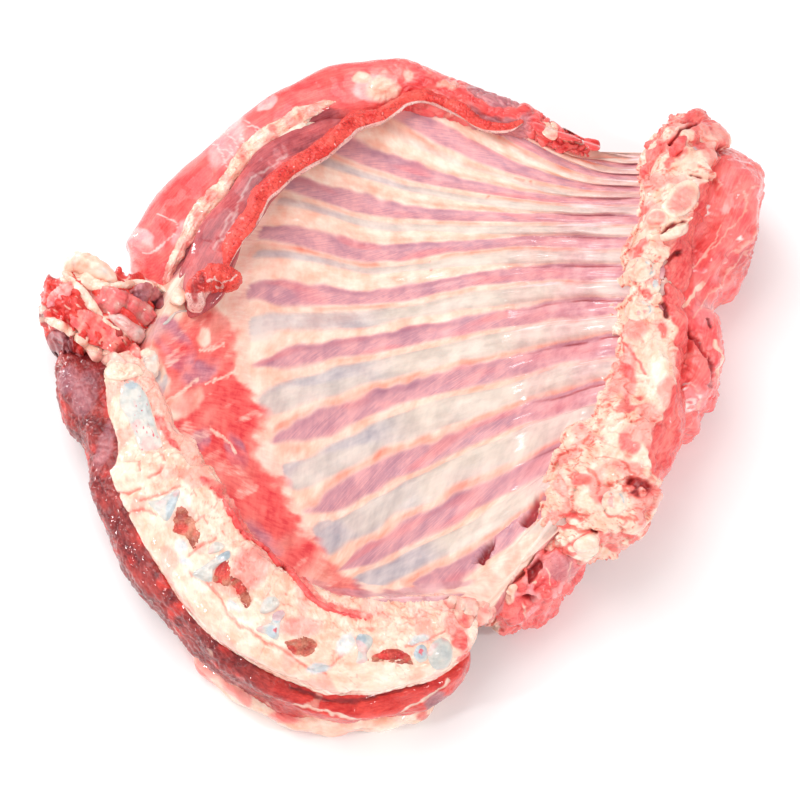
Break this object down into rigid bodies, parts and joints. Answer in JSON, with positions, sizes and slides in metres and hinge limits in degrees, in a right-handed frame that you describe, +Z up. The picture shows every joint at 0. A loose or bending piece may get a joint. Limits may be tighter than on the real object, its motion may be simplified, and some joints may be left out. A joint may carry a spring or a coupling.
{
  "type": "lamb ribs",
  "caption": "Raw side of lamb ribs lying on its outer face: a curved wall of ribs between a fatty backbone and a sawn breastbone, with belly flap, skirt edge and neck meat.",
  "frame": {"origin": "middle of the bounding box in plan, at the table the side lies on", "axes": "+Z up out of the hollow, the backbone runs along +Y at the +X side, the neck end points to -Y"},
  "size_m": [0.3914, 0.3854, 0.0888],
  "materials": {
    "pleura": "wet glossy skin over ribs, grey-blue and cream bands with pink muscle between",
    "lamb_fat": "moist lumpy cream and pink fat",
    "cartilage": "wet bluish white cartilage and tendon",
    "marrow": "porous red-brown sawn bone",
    "raw_muscle": "moist salmon-red muscle with fine grain and pale skin",
    "dark_muscle": "dark red granular cut muscle, wet",
    "skirt_muscle": "bright red granular cut edge with a pale skin line"
  },
  "bodies": {
    "root": {"rib_wall": "pleura", "breastbone": "lamb_fat", "breastbone_1": "cartilage", "breastbone_2": "cartilage", "breastbone_3": "marrow", "breastbone_4": "marrow", "breastbone_5": "marrow", "breastbone_6": "marrow", "breastbone_7": "cartilage", "breastbone_8": "marrow", "breastbone_9": "cartilage", "backbone": "lamb_fat", "backbone_joint_1": "cartilage", "backbone_joint_2": "cartilage", "backbone_joint_3": "cartilage", "neck_muscle": "raw_muscle", "breast_muscle": "dark_muscle", "breast_fat": "lamb_fat", "loin_muscle": "raw_muscle", "skirt": "skirt_muscle", "flank_fat": "lamb_fat", "flank_muscle": "raw_muscle", "tip_cartilage": "cartilage", "tip_tendon": "cartilage", "tip_knob": "cartilage", "brisket_tip": "dark_muscle"}
  },
  "joints": []
}
